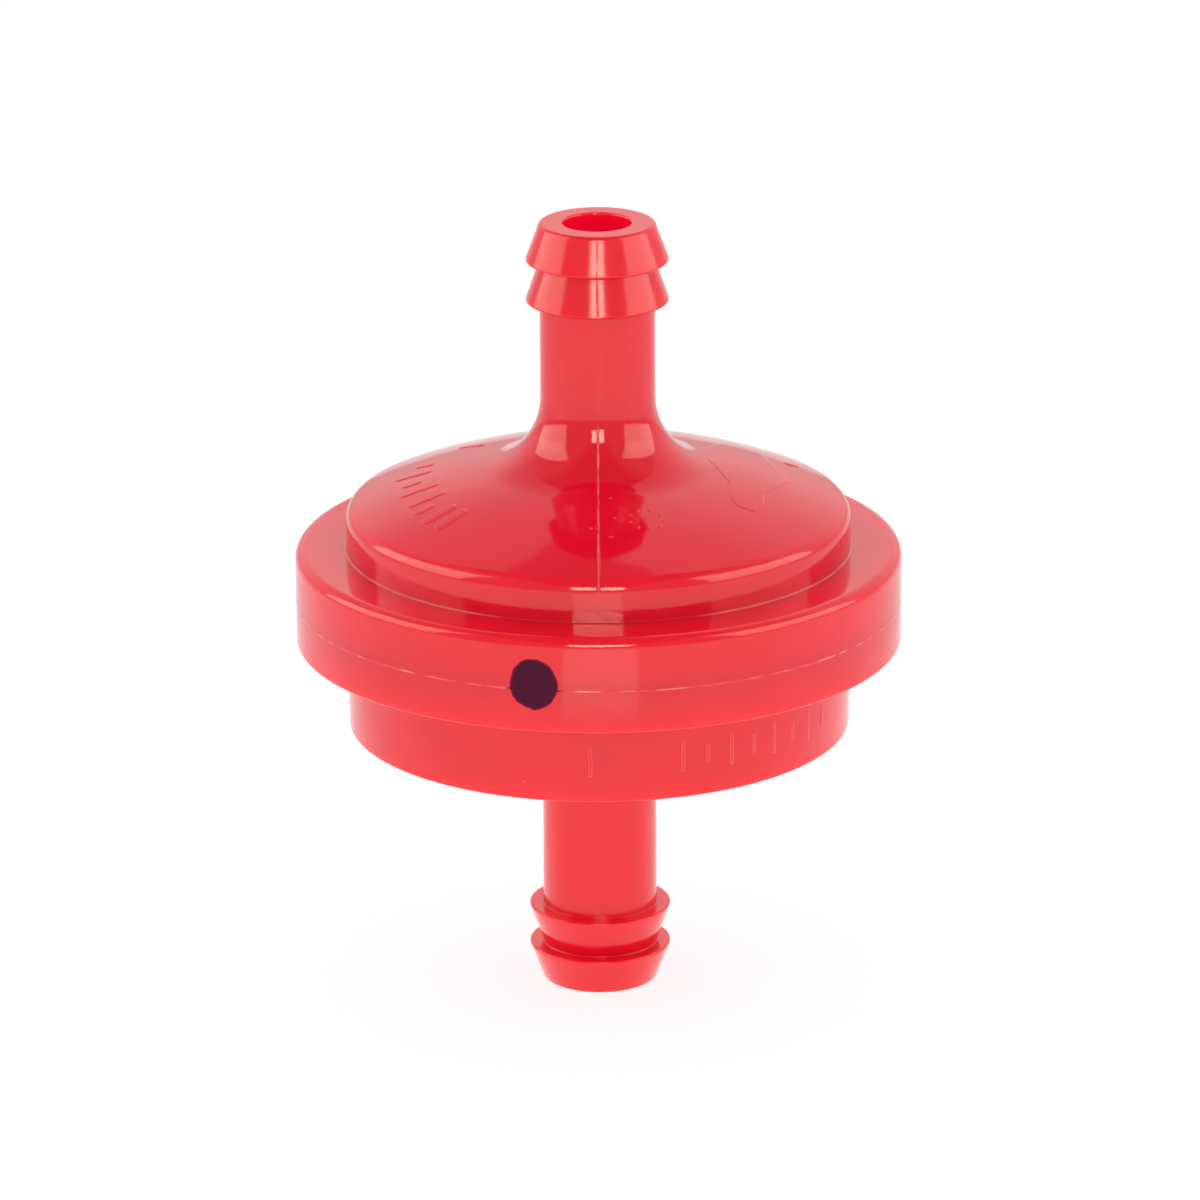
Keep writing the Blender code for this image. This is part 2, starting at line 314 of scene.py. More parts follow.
def outlet_section(sizes, share):
    """The outlet shell's section, with sags and ring steps divided by share."""
    sag = ROUND_SAG / share
    body_r = sizes.body_diameter / 2
    stem_r = sizes.stem_diameter / 2
    chamber_r = body_r - sizes.wall
    recess_r = chamber_r + SCREEN_LEDGE
    ledge_z = SCREEN_BOX[0].z - SCREEN_CLEARANCE
    flange_z = SEAM_Z - sizes.outlet_flange
    cup_z = flange_z - sizes.cup_depth
    cup_r = body_r - sizes.cup_depth * DRAFT
    floor_z = cup_z + sizes.wall
    groove_floor = SEAM_Z - TONGUE_HEIGHT - TONGUE_CLEARANCE
    groove_r = (recess_r + FLANGE_R) / 2
    groove_half = TONGUE_WIDTH / 2 + TONGUE_CLEARANCE
    rim_r = FLANGE_R - SEAM_LIP
    seam = SEAM_Z - SEAM_HALF
    corners = nipple(sizes, 0.0, -1)
    corners.append((stem_r, cup_z, sizes.outlet_fillet))
    corners.append((cup_r, cup_z, LOWER_ROUND))
    corners += sharp(run((cup_r, cup_z), (body_r, flange_z), WALL_RING)[1:-1])
    corners.append((body_r, flange_z, LOWER_ROUND))
    corners.append((rim_r, flange_z, LOWER_ROUND))
    corners += sharp(run((rim_r, flange_z), (rim_r, seam), WALL_RING)[1:])
    corners += [(rim_r, seam - ring * MM, 0.0) for ring in BEAD_RINGS]
    corners += [
        (rim_r, seam, SEAM_ROUND),
        (groove_r + groove_half, seam, 0.0),
        (groove_r + groove_half, groove_floor, 0.0),
        (groove_r - groove_half, groove_floor, 0.0),
        (groove_r - groove_half, SEAM_Z - WELD_GAP / 2, 0.0),
        (recess_r, SEAM_Z - WELD_GAP / 2, 0.0),
        (recess_r, ledge_z, 0.0),
        (chamber_r, ledge_z, 0.0),
        (chamber_r, floor_z, INNER_ROUND),
        (sizes.bore_diameter / 2, floor_z, INNER_ROUND),
    ]
    return rounded(corners, sag)


def turn_outline(bm, outline, steps):
    """Turns a closed outline of (r, z) points about Z and joins the end to the start."""
    loop = [bm.verts.new((0.0, -r, z)) for r, z in outline]
    edges = [bm.edges.new((loop[index - 1], loop[index])) for index in range(len(loop))]
    bmesh.ops.spin(
        bm,
        geom=loop + edges,
        cent=(0.0, 0.0, 0.0),
        axis=(0.0, 0.0, 1.0),
        angle=2 * math.pi,
        steps=steps,
        use_merge=True,
    )
    bmesh.ops.remove_doubles(bm, verts=bm.verts, dist=1e-7)
    bmesh.ops.recalc_face_normals(bm, faces=bm.faces)
    bm.normal_update()


def outside(normal, place):
    """True on the outer surface, where the normal points away from the body's middle."""
    return normal.dot(place - BODY_MIDDLE) > 0


def divide_near(bm, wanted, cuts):
    """Divides the outer faces that the test picks into small ones."""
    picked = []
    for face in bm.faces:
        middle = face.calc_center_median()
        if outside(face.normal, middle) and wanted(middle):
            picked.append(face)
    edges = list({edge for face in picked for edge in face.edges})
    bmesh.ops.subdivide_edges(bm, edges=edges, cuts=cuts, use_grid_fill=True)


def settle(bm, section):
    """Moves points that lie on flat facets out to the true turned surface."""
    ends = np.array(section + section[:1])
    start = ends[:-1]
    along = ends[1:] - start
    square = np.maximum((along**2).sum(1), 1e-18)
    for vert in bm.verts:
        r = math.hypot(vert.co.x, vert.co.y)
        offset = np.array((r, vert.co.z)) - start
        share = np.clip((offset * along).sum(1) / square, 0.0, 1.0)
        nearest = start + along * share[:, None]
        gap = ((nearest - (r, vert.co.z)) ** 2).sum(1)
        new_r, new_z = nearest[int(gap.argmin())]
        vert.co = (vert.co.x * new_r / r, vert.co.y * new_r / r, new_z)


def raise_relief(bm, relief):
    """Moves each outer point along its normal by the lift that the function gives, and stores the painted
    highlight that the function gives with it.
    """
    bm.normal_update()
    layer = bm.verts.layers.float.new("painted_highlight")
    moves = []
    for vert in bm.verts:
        if outside(vert.normal, vert.co):
            lift, painted_highlight = relief(vert.co)
            vert[layer] = painted_highlight
            if lift:
                moves.append((vert, vert.normal * lift))
    for vert, move in moves:
        vert.co += move


def raise_bead(bm):
    """Moves the rim straight out beside the weld, where melted plastic was squeezed out, and paints a
    highlight on it.
    """
    layer = bm.verts.layers.float["painted_highlight"]
    for vert in bm.verts:
        bead = seam_bead(vert.co)
        if bead:
            stretch = 1 + SEAM_LIP * bead / math.hypot(vert.co.x, vert.co.y)
            vert.co.x *= stretch
            vert.co.y *= stretch
            vert[layer] += SEAM_HIGHLIGHT * bead


def smooth_step(value):
    """A soft step from 0 to 1 as the value goes from 0 to 1."""
    value = min(1.0, max(0.0, value))
    return value * value * (3 - 2 * value)


def edge_share(step):
    """How near a soft step is to its middle, from 0 at either end to 1."""
    return 1 - abs(2 * step - 1)


def from_polygon(x, y, corners):
    """Distance from a closed polygon's edge, positive inside."""
    nearest = 1.0
    inside = False
    for index, (x1, y1) in enumerate(corners):
        x0, y0 = corners[index - 1]
        dx, dy = x1 - x0, y1 - y0
        share = ((x - x0) * dx + (y - y0) * dy) / (dx * dx + dy * dy)
        share = min(1.0, max(0.0, share))
        nearest = min(nearest, math.hypot(x - x0 - dx * share, y - y0 - dy * share))
        if (y0 > y) != (y1 > y) and x < x0 + (y - y0) * dx / dy:
            inside = not inside
    return nearest if inside else -nearest


def from_bar(u, v, length, width):
    """Distance from the edge of a bar with round ends that stands along v, positive inside."""
    half = length / 2 - width / 2
    return width / 2 - math.hypot(u, v - min(half, max(-half, v)))


def azimuth(place):
    """Degrees round the axis, 0 towards the camera and positive to the right."""
    return math.degrees(math.atan2(place.x, -place.y))


# Plain marks, weld and lines: softness of their edges and how strong a painted highlight each gets
MARK_EDGE = 0.1 * MM
EDGE_HIGHLIGHT = 0.6
CUP_HIGHLIGHT = 0.75
FOOT_HIGHLIGHT = 0.8
FOOT_LINE = 0.08 * MM
LINE_HIGHLIGHT = 0.6
SEAM_HIGHLIGHT = 1.3

# Marks in degrees and millimetres: on the dome (turn, radius, length), and on the cup (turn, length)
DOME_MARK_WIDTH = 0.7 * MM
DOME_MARK_REACH = 2 * MM
DOME_MARKS = [
    (-50.4, 10.4, 2.2), (-56.6, 10.4, 2.2), (-64.0, 10.6, 1.2), (-70.4, 10.0, 2.2), (-80.2, 10.0, 2.2),
    (-88.0, 10.3, 1.2), (-97.0, 10.3, 2.2), (-106.0, 10.0, 1.2), (-127.0, 8.8, 1.8), (112.0, 11.6, 1.0),
]
DOT_R = 0.12 * MM
DOT_COLUMN = [(6.0, 6.28), (5.9, 8.39), (3.9, 10.14), (-2.4, 9.35)]
DOT_RING_CENTRE = (17.5, 8.75)
DOT_RING_R = 0.95 * MM
DOT_RING_COUNT = 9
CUP_MARK_WIDTH = 0.26 * MM
CUP_MARK_Z = 17.6 * MM
CUP_MARKS = [
    (-2.0, 1.9), (19.0, 1.9), (25.0, 1.2), (31.0, 1.9), (37.0, 1.2), (43.0, 1.9), (49.0, 1.2), (55.0, 1.9),
    (61.0, 1.2),
]


def dot_places():
    """Plan places of the small round marks on the dome: four by themselves and a ring of them."""
    places = []
    for turn, r in DOT_COLUMN:
        angle = math.radians(turn)
        places.append((r * MM * math.sin(angle), -r * MM * math.cos(angle)))
    angle = math.radians(DOT_RING_CENTRE[0])
    centre_x = DOT_RING_CENTRE[1] * MM * math.sin(angle)
    centre_y = -DOT_RING_CENTRE[1] * MM * math.cos(angle)
    for index in range(DOT_RING_COUNT):
        angle = 2 * math.pi * index / DOT_RING_COUNT
        places.append((centre_x + DOT_RING_R * math.cos(angle), centre_y + DOT_RING_R * math.sin(angle)))
    return places


def dome_mark(place):
    """Distance from the edge of the nearest plain mark on the dome, positive inside."""
    r = math.hypot(place.x, place.y)
    turn = azimuth(place)
    nearest = -1.0
    for mark_turn, mark_r, length in DOME_MARKS:
        across = math.radians(turn - mark_turn) * r
        if abs(across) < DOME_MARK_REACH:
            nearest = max(nearest, from_bar(across, r - mark_r * MM, length * MM, DOME_MARK_WIDTH))
    for x, y in DOTS:
        nearest = max(nearest, DOT_R - math.hypot(place.x - x, place.y - y))
    return nearest


def cup_mark(place):
    """Distance from the edge of the nearest plain mark on the cup's wall, positive inside."""
    r = math.hypot(place.x, place.y)
    turn = azimuth(place)
    nearest = -1.0
    for mark_turn, length in CUP_MARKS:
        across = math.radians(turn - mark_turn) * r
        nearest = max(nearest, from_bar(across, place.z - CUP_MARK_Z, length * MM, CUP_MARK_WIDTH))
    return nearest


# Heights at which the mould line changes, and the small marks worked out once
DOME_EDGE_Z = 27.2 * MM
STEM_Z = 33.5 * MM
BARBS_Z = 39.3 * MM
DOTS = dot_places()
ARROW_OUTLINE = [(x * MM, y * MM) for x, y in ARROW]


def line_offset(place):
    """How far a point lies from the mould line, which wanders a little as it runs over the body."""
    wander = noise.noise(Vector((0.0, place.z * 1400, math.hypot(place.x, place.y) * 1400)))
    return place.x - 0.045 * MM * wander


def near_mould_line(place):
    """True beside the mould line, front and back."""
    return abs(place.x) < LINE_REACH and place.z > DOME_EDGE_Z


def mould_line(sizes, place):
    """Share of the mould line's height: full on the dome, faint on the stem and broken up on the barbs."""
    away = abs(line_offset(place)) / (sizes.line_width / 2)
    if away >= 1 or place.z < DOME_EDGE_Z or place.z > TOP_Z - LINE_END:
        return 0.0
    uneven = noise.noise(Vector((7.0, place.z * 2600, place.y * 2600)))
    share = 0.75 + 0.5 * uneven
    if place.z > BARBS_Z:
        share = max(0.0, 0.25 + 1.3 * uneven)
    elif place.z > STEM_Z:
        share *= 0.3
    return share * smooth_step(1 - away)


def foot_line(sizes, place):
    """Share of the painted highlight along the step's foot, which is missing in front."""
    rise = place.z - SEAM_Z - sizes.inlet_flange
    if max(abs(rise), abs(math.hypot(place.x, place.y) - sizes.body_diameter / 2)) > FOOT_LINE:
        return 0.0
    uneven = noise.noise(Vector((place.x * 900, place.y * 900, 3.0)))
    return smooth_step((abs(azimuth(place)) - 18) / 12) * (0.75 + 0.5 * uneven)


def seam_bead(place):
    """Share of the height of the thin edge squeezed out at the weld, which comes and goes round the flange."""
    away = abs(SEAM_Z - place.z)
    if away > BEAD_WIDTH or math.hypot(place.x, place.y) < FLANGE_R - 0.5 * MM:
        return 0.0
    turn = math.atan2(place.x, -place.y)
    coarse = noise.noise(Vector((math.cos(turn) * 14, math.sin(turn) * 14, 5.0)))
    fine = noise.noise(Vector((place.x * 1500, place.y * 1500, 11.0)))
    full = min(1.0, max(0.0, 0.4 + 0.7 * coarse + 1.1 * fine))
    return full * smooth_step(1 - away / BEAD_WIDTH)


def mould_inlet_shell(sizes, material):
    """The inlet shell with its arrow, plain marks and mould line."""
    bm = bmesh.new()
    turn_outline(bm, inlet_section(sizes, 1), TURN_STEPS)
    radius, centre_z = dome_sphere(sizes)

    def on_dome(place):
        return abs((place - Vector((0.0, 0.0, centre_z))).length - radius) < 0.05 * MM and place.z > SEAM_Z

    def near_mark(place):
        if abs(place.x) < LINE_REACH or not on_dome(place):
            return False
        on_arrow = from_polygon(place.x, place.y, ARROW_OUTLINE)
        return abs(on_arrow) < 2 * RELIEF_REACH or dome_mark(place) > -2 * RELIEF_REACH

    def relief(place):
        line = mould_line(sizes, place)
        lift = sizes.line_height * line
        # Painted highlight on the mould line, along the step's foot and round the edges of the arrow and the
        # marks
        painted_highlight = LINE_HIGHLIGHT * line + FOOT_HIGHLIGHT * foot_line(sizes, place)
        if on_dome(place):
            arrow = smooth_step(from_polygon(place.x, place.y, ARROW_OUTLINE) / MARK_EDGE)
            mark = smooth_step(dome_mark(place) / MARK_EDGE)
            lift += sizes.arrow_height * arrow + sizes.mark_height * mark
            painted_highlight += EDGE_HIGHLIGHT * (edge_share(arrow) + edge_share(mark))
        return lift, painted_highlight

    divide_near(bm, near_mark, RELIEF_CUTS)
    divide_near(bm, near_mould_line, LINE_CUTS)
    settle(bm, inlet_section(sizes, FINE_SHARE))
    raise_relief(bm, relief)
    raise_bead(bm)
    return finish_piece(bm, "inlet_shell", material, "upper_shell")


def add_ribs(bm, sizes):
    """Radial ribs on the cup's floor that hold the screen up, rooted in the floor and the wall."""
    cup_z = SEAM_Z - sizes.outlet_flange - sizes.cup_depth
    low = cup_z + sizes.wall / 2
    high = SCREEN_BOX[0].z - SCREEN_CLEARANCE - RIB_CLEARANCE
    near = sizes.bore_diameter / 2 + RIB_START
    far = sizes.body_diameter / 2 - sizes.wall / 2
    ribs = bmesh.new()
    for index in range(sizes.rib_count):
        turn = Matrix.Rotation(2 * math.pi * (index + 0.5) / sizes.rib_count, 4, "Z")
        place = Matrix.Translation(((near + far) / 2, 0.0, (low + high) / 2))
        size = Matrix.Diagonal((far - near, RIB_WIDTH, high - low, 1.0))
        bmesh.ops.create_cube(ribs, size=1.0, matrix=turn @ place @ size)
    top = [edge for edge in ribs.edges if min(vert.co.z for vert in edge.verts) > high - 1e-6]
    bmesh.ops.bevel(
        ribs, geom=top, offset=0.15 * MM, segments=3, profile=0.5, affect="EDGES", material=-1,
        offset_type="OFFSET",
    )
    mesh = bpy.data.meshes.new("ribs")
    ribs.to_mesh(mesh)
    ribs.free()
    bm.from_mesh(mesh)
    bpy.data.meshes.remove(mesh)


def mould_outlet_shell(sizes, material):
    """The outlet shell with its ribs and plain marks."""
    bm = bmesh.new()
    turn_outline(bm, outlet_section(sizes, 1), TURN_STEPS)
    cup_r = sizes.body_diameter / 2
    flange_z = SEAM_Z - sizes.outlet_flange

    def on_cup(place):
        r = math.hypot(place.x, place.y)
        return abs(r - cup_r) < 0.3 * MM and flange_z - sizes.cup_depth < place.z < flange_z

    def near_mark(place):
        return abs(place.x) > LINE_REACH and on_cup(place) and cup_mark(place) > -2 * RELIEF_REACH

    def relief(place):
        mark = smooth_step(cup_mark(place) / MARK_EDGE) if on_cup(place) else 0.0
        # Painted highlight round the edges of the cup's marks
        return sizes.mark_height * mark, CUP_HIGHLIGHT * edge_share(mark)

    divide_near(bm, near_mark, RELIEF_CUTS)
    settle(bm, outlet_section(sizes, FINE_SHARE))
    raise_relief(bm, relief)
    raise_bead(bm)
    add_ribs(bm, sizes)
    return finish_piece(bm, "outlet_shell", material, "lower_shell")


def finish_piece(bm, name, material, node):
    """Turns a bmesh into a shown piece that stands for its CAD node."""
    bmesh.ops.recalc_face_normals(bm, faces=bm.faces)
    mesh = bpy.data.meshes.new(name)
    bm.to_mesh(mesh)
    bm.free()
    mesh.materials.append(material)
    mesh.shade_smooth()
    mesh.set_sharp_from_angle(angle=SHARP_ANGLE)
    piece = bpy.data.objects.new(name, mesh)
    bpy.context.scene.collection.objects.link(piece)
    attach(piece, "root")
    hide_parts(node)
    return piece


def add_thread(bm, start, along, length, radius, wave):
    """One woven thread: a small circle swept along its run and bent over and under the others."""
    rod = bmesh.new()
    turn = along.to_track_quat("Z", "Y").to_matrix().to_4x4()
    bmesh.ops.create_circle(rod, segments=THREAD_SIDES, radius=radius, matrix=Matrix.Translation(start) @ turn)
    steps = round(length / THREAD_STEP)
    bmesh.ops.spin(
        rod,
        geom=rod.verts[:] + rod.edges[:],
        cent=start,
        axis=(0.0, 0.0, 1.0),
        dvec=along * length / steps,
        angle=0.0,
        steps=steps,
        use_merge=False,
    )
    ends = [edge for edge in rod.edges if edge.is_boundary]
    bmesh.ops.holes_fill(rod, edges=ends, sides=THREAD_SIDES)
    for vert in rod.verts:
        vert.co.z += wave((vert.co - start).dot(along))
    mesh = bpy.data.meshes.new("thread")
    rod.to_mesh(mesh)
    rod.free()
    bm.from_mesh(mesh)
    bpy.data.meshes.remove(mesh)


def weave_screen(sizes, material):
    """The screen: a moulded rim with nylon threads that pass over and under each other."""
    bm = bmesh.new()
    low, high = SCREEN_BOX[0].z, SCREEN_BOX[1].z
    open_r = SCREEN_R - SCREEN_RIM
    edge = 0.12 * MM
    rim = [(open_r, low, edge), (SCREEN_R, low, edge), (SCREEN_R, high, edge), (open_r, high, edge)]
    turn_outline(bm, rounded(rim, ROUND_SAG), TURN_STEPS // 2)
    middle = (low + high) / 2
    pitch = sizes.thread_pitch
    anchor_r = open_r + SCREEN_RIM / 2
    count = math.floor(open_r / pitch)
    swing = sizes.thread_diameter / 2
    for index in range(-count, count):
        offset = (index + 0.5) * pitch
        half = math.sqrt(anchor_r**2 - offset**2)
        side = 1 if index % 2 == 0 else -1
        for axis, sign in ((0, 1), (1, -1)):
            start = Vector((-half, offset, middle)) if axis == 0 else Vector((offset, -half, middle))
            along = Vector((1.0, 0.0, 0.0)) if axis == 0 else Vector((0.0, 1.0, 0.0))

            def wave(run_length, half=half, bend=sign * side * swing):
                return bend * math.cos(math.pi * ((run_length - half) / pitch - 0.5))

            add_thread(bm, start, along, 2 * half, swing, wave)
    return finish_piece(bm, "screen", material, "filter_screen")


def new_material(name):
    """An empty node material with its output node."""
    material = bpy.data.materials.new(name)
    material.use_nodes = True
    tree = material.node_tree
    tree.nodes.clear()
    return material, tree, tree.nodes.new("ShaderNodeOutputMaterial")


def node(tree, kind, settings=None, **inputs):
    """A new node with its settings, and its inputs set to values or joined to sockets."""
    made = tree.nodes.new(kind)
    for name, value in (settings or {}).items():
        setattr(made, name, value)
    for name, value in inputs.items():
        key = int(name[1:]) if name[0] == "i" and name[1:].isdigit() else name.replace("_", " ")
        socket = made.inputs[key]
        if isinstance(value, bpy.types.NodeSocket):
            tree.links.new(value, socket)
        else:
            socket.default_value = value
    return made


def maths(tree, operation, first, second=0.0):
    """One step of arithmetic between sockets or numbers."""
    return node(tree, "ShaderNodeMath", {"operation": operation}, i0=first, i1=second).outputs[0]


def spread(tree, value, low, high, to_low, to_high):
    """Maps a value from one range to another, held at its ends."""
    made = node(
        tree, "ShaderNodeMapRange", {"clamp": True},
        Value=value, From_Min=low, From_Max=high, To_Min=to_low, To_Max=to_high,
    )
    return made.outputs["Result"]


def blend_values(tree, factor, first, second):
    """Mixes two number sockets."""
    return maths(tree, "ADD", first, maths(tree, "MULTIPLY", factor, maths(tree, "SUBTRACT", second, first)))


def blend_colours(tree, factor, first, second):
    """Mixes two colours, each a socket or a plain colour."""
    made = tree.nodes.new("ShaderNodeMix")
    made.data_type = "RGBA"
    for key, value in ((0, factor), (6, first), (7, second)):
        if isinstance(value, bpy.types.NodeSocket):
            tree.links.new(value, made.inputs[key])
        else:
            made.inputs[key].default_value = value if key == 0 else (*value, 1.0)
    return made.outputs[2]


def grain(tree, place, scale, detail=2.0, roughness=0.5):
    """A noise value from 0 to 1 at this scale, in waves to the metre."""
    made = node(tree, "ShaderNodeTexNoise", Vector=place, Scale=scale, Detail=detail, Roughness=roughness)
    return made.outputs["Fac"]


# The ink dot, and the light that shines through the thin wall round the bore
INK_CENTRE = (-3.52 * MM, -16.43 * MM, 22.85 * MM)
INK_R = 1.43 * MM
INK_SHAPE = (1.09, 1.0, 1.0)
PLAN = (1.0, 1.0, 0.0)
BORE_GLOW = 0.16


def red_plastic(name, colours):
    """Glossy moulded red plastic, slightly uneven, with dust specks, the inspector's ink dot and painted
    highlights along its small edges.
    """
    material, tree, output = new_material(name)
    place = tree.nodes.new("ShaderNodeTexCoord").outputs["Object"]

    patches = spread(tree, grain(tree, place, 160, 3.0), 0.38, 0.68, 0.0, 1.0)
    colour = blend_colours(tree, patches, tuple(colours.red), tuple(colours.deep_red))

    cells = node(tree, "ShaderNodeTexVoronoi", Vector=place, Scale=520.0)
    lot = node(tree, "ShaderNodeSeparateColor", Color=cells.outputs["Color"]).outputs[0]
    chosen = maths(tree, "GREATER_THAN", lot, 0.86)
    speck = maths(tree, "MULTIPLY", spread(tree, cells.outputs["Distance"], 0.018, 0.03, 1.0, 0.0), chosen)
    colour = blend_colours(tree, maths(tree, "MULTIPLY", speck, 0.5), colour, tuple(colours.fleck))

    offset = node(tree, "ShaderNodeVectorMath", {"operation": "SUBTRACT"}, i0=place, i1=INK_CENTRE).outputs[0]
    offset = node(tree, "ShaderNodeVectorMath", {"operation": "MULTIPLY"}, i0=offset, i1=INK_SHAPE).outputs[0]
    away = node(tree, "ShaderNodeVectorMath", {"operation": "LENGTH"}, i0=offset).outputs["Value"]
    height = node(tree, "ShaderNodeSeparateXYZ", Vector=place).outputs["Z"]
    from_seam = maths(tree, "ABSOLUTE", maths(tree, "SUBTRACT", height, SEAM_Z))
    away = maths(tree, "SUBTRACT", away, spread(tree, from_seam, 0.015 * MM, 0.04 * MM, 0.3 * MM, 0.0))
    ragged = spread(tree, grain(tree, place, 900, 4.0, 0.65), 0.0, 1.0, -0.2 * MM, 0.2 * MM)
    edge = maths(tree, "ADD", away, ragged)
    inked = spread(tree, edge, INK_R - 0.03 * MM, INK_R + 0.02 * MM, 1.0, 0.0)
    rim = spread(tree, edge, INK_R - 0.17 * MM, INK_R - 0.03 * MM, 0.0, 1.0)
    ink_colour = blend_colours(tree, rim, tuple(colours.ink), tuple(colours.ink_rim))

    # Painted highlight: a light colour is mixed in along the weld, the mould line, the step's foot and the
    # marks' edges
    highlight_paint = tree.nodes.new("ShaderNodeAttribute")
    highlight_paint.attribute_name = "painted_highlight"
    highlight_share = spread(tree, highlight_paint.outputs["Fac"], 0.08, 1.3, 0.0, 0.65)
    colour = blend_colours(tree, highlight_share, colour, tuple(colours.highlight_paint))

    scuffs = grain(tree, place, 2600, 5.0, 0.7)
    gloss = spread(tree, scuffs, 0.35, 0.75, 0.05, 0.11)
    gloss = maths(tree, "ADD", gloss, spread(tree, height, 36 * MM, 38 * MM, 0.0, 0.09))
    gloss = maths(tree, "ADD", gloss, spread(tree, height, 7 * MM, 10 * MM, 0.1, 0.0))

    waves = node(
        tree, "ShaderNodeBump", Strength=1.0, Distance=0.02 * MM, Height=grain(tree, place, 330, 1.0)
    ).outputs["Normal"]
    pores = node(
        tree, "ShaderNodeBump", Strength=0.5, Distance=0.0022 * MM, Height=grain(tree, place, 5200, 3.0, 0.6),
        Normal=waves,
    ).outputs["Normal"]
    normal = node(
        tree, "ShaderNodeBump", Strength=0.4, Distance=0.01 * MM, Height=speck, Normal=pores
    ).outputs["Normal"]

    shader = node(
        tree, "ShaderNodeBsdfPrincipled", Base_Color=colour, Roughness=gloss, Normal=normal, IOR=1.5,
    )
    tree.links.new(spread(tree, from_seam, 0.06 * MM, 0.2 * MM, 0.0, 0.6), shader.inputs["Subsurface Weight"])
    shader.inputs["Subsurface Radius"].default_value = (1.0, 0.12, 0.08)
    shader.inputs["Subsurface Scale"].default_value = 2.0 * MM
    shader.inputs["Specular Tint"].default_value = (1.0, 0.96, 0.78, 1.0)
    plan = node(tree, "ShaderNodeVectorMath", {"operation": "MULTIPLY"}, i0=place, i1=PLAN).outputs[0]
    from_axis = node(tree, "ShaderNodeVectorMath", {"operation": "LENGTH"}, i0=plan).outputs["Value"]
    glow = spread(tree, from_axis, 1.9 * MM, 1.98 * MM, BORE_GLOW, 0.0)
    tree.links.new(glow, shader.inputs["Emission Strength"])
    shader.inputs["Emission Color"].default_value = (1.0, 0.0, 0.05, 1.0)
    matt = spread(tree, scuffs, 0.3, 0.7, 0.3, 0.5)
    ink = node(tree, "ShaderNodeBsdfPrincipled", Base_Color=ink_colour, Roughness=matt, Normal=normal)
    ink.inputs["Specular IOR Level"].default_value = 0.1
    marked = node(tree, "ShaderNodeMixShader", Fac=inked, i1=shader.outputs[0], i2=ink.outputs[0])
    tree.links.new(marked.outputs[0], output.inputs["Surface"])
    return material


def woven_nylon(colours):
    """Off-white nylon thread, slightly stained and satin."""
    material, tree, output = new_material("woven_nylon")
    place = tree.nodes.new("ShaderNodeTexCoord").outputs["Object"]
    stain = spread(tree, grain(tree, place, 240, 4.0), 0.35, 0.7, 0.0, 0.35)
    colour = blend_colours(tree, stain, tuple(colours.nylon), (0.62, 0.52, 0.36))
    fibre = grain(tree, place, 9000, 3.0, 0.6)
    bump = node(tree, "ShaderNodeBump", Strength=0.4, Distance=0.01 * MM, Height=fibre).outputs["Normal"]
    shader = node(
        tree, "ShaderNodeBsdfPrincipled", Base_Color=colour, Normal=bump,
        Roughness=spread(tree, fibre, 0.3, 0.7, 0.38, 0.55), IOR=1.53,
    )
    tree.links.new(shader.outputs[0], output.inputs["Surface"])
    return material


# Camera: distance, height of the point looked at, elevation, focal length and lean
CAMERA_DISTANCE = 450 * MM
CAMERA_TARGET = Vector((0.07 * MM, 0.0, 22.13 * MM))
CAMERA_ELEVATION = math.radians(18.35)
CAMERA_LENS = 243.4
CAMERA_LEAN = math.radians(0.27)

# Floor: size, and its light for the camera, for reflections front to back, and for the filter
FLOOR_R = 0.9
FLOOR_OWN_LIGHT = 1.15
FLOOR_SHEEN = (1.45, 0.92)
FLOOR_BOUNCE = 0.44

# Side lamps as (name, place in plan, facing, width), with their heights and brighter cores
SIDE_BOXES = [
    ("left_softbox", (-0.39, 0.10), (0.803, 0.596), 0.55),
    ("right_softbox", (0.36, 0.01), (-0.75, 0.661), 0.47),
]
BOX_LOW = 0.05
BOX_HIGH = 0.36
BOX_RADIANCE = 2.4
CORE_Z = 0.21
CORE_HEIGHT = 0.09
CORE_RADIANCE = 0.7

# Surroundings: light for the filter, then what its gloss mirrors overhead, beside, behind and in front
FILL_LIGHT = 1.02
OVERHEAD = 0.25
SIDE_WALL = 0.6
LEFT_WALL = (1.0, 0.7)
RIGHT_WALL = (1.0, 0.82)
FRONT_WALL = 0.33


def set_camera():
    """The camera at the photograph's angle."""
    data = bpy.data.cameras.new("camera")
    data.lens = CAMERA_LENS
    data.sensor_width = 36.0
    data.clip_start = 0.01
    data.clip_end = 10.0
    camera = bpy.data.objects.new("camera", data)
    bpy.context.scene.collection.objects.link(camera)
    back = Vector((0.0, -math.cos(CAMERA_ELEVATION), math.sin(CAMERA_ELEVATION)))
    turn = (-back).to_track_quat("-Z", "Y").to_matrix().to_4x4()
    place = Matrix.Translation(CAMERA_TARGET + back * CAMERA_DISTANCE)
    camera.matrix_world = place @ turn @ Matrix.Rotation(-CAMERA_LEAN, 4, "Z")
    bpy.context.scene.camera = camera


def add_softbox(name, centre, size, look_at, radiance):
    """A rectangular lamp of this size and brightness, turned towards a point."""
    data = bpy.data.lights.new(name, "AREA")
    data.shape = "RECTANGLE"
    data.size, data.size_y = size
    data.energy = radiance * math.pi * size[0] * size[1]
    lamp = bpy.data.objects.new(name, data)
    bpy.context.scene.collection.objects.link(lamp)
    lamp.location = centre
    lamp.rotation_euler = (Vector(look_at) - Vector(centre)).to_track_quat("-Z", "Y").to_euler()
    lamp.visible_camera = False
    lamp.visible_diffuse = False


